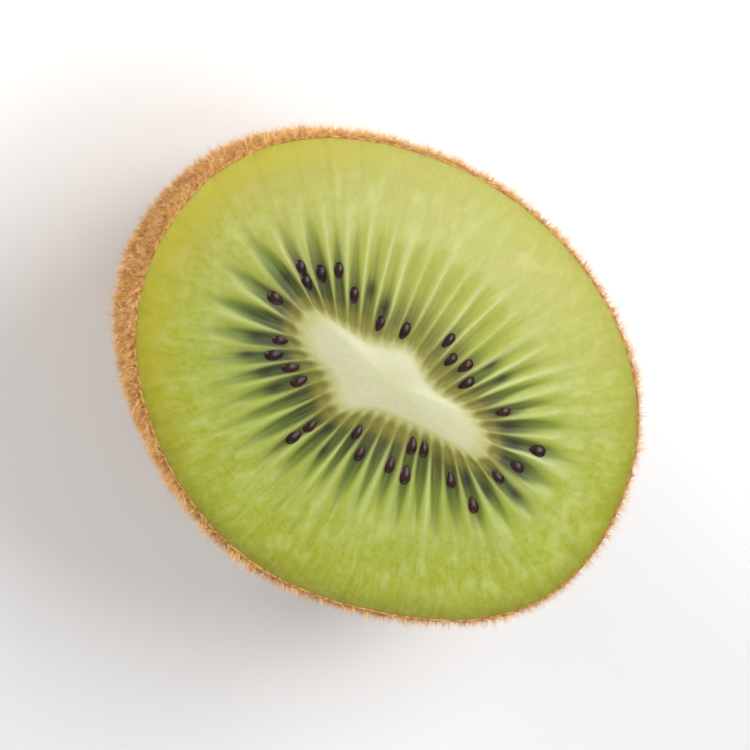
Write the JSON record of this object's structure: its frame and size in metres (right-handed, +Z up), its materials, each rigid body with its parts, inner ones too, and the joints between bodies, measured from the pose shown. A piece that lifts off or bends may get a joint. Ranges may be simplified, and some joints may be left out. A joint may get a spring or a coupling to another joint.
{
  "type": "kiwi fruit half",
  "caption": "Kiwi fruit cut in half across, with a pale core, dark seeds in radial wells, green flesh and a fuzzy brown skin.",
  "frame": {"origin": "middle of the small flat spot under the half, on the surface that it lies on", "axes": "+Z up out of the cut face, +X along the longer way of its oval, +Y along the shorter way"},
  "size_m": [0.0585, 0.0466, 0.0322],
  "materials": {
    "flesh": "satin",
    "core": "satin",
    "seed": "gloss",
    "skin": "matte",
    "fuzz": "matte",
    "stem_scar": "matte"
  },
  "bodies": {
    "root": {"kiwi_half": "flesh"}
  },
  "joints": []
}
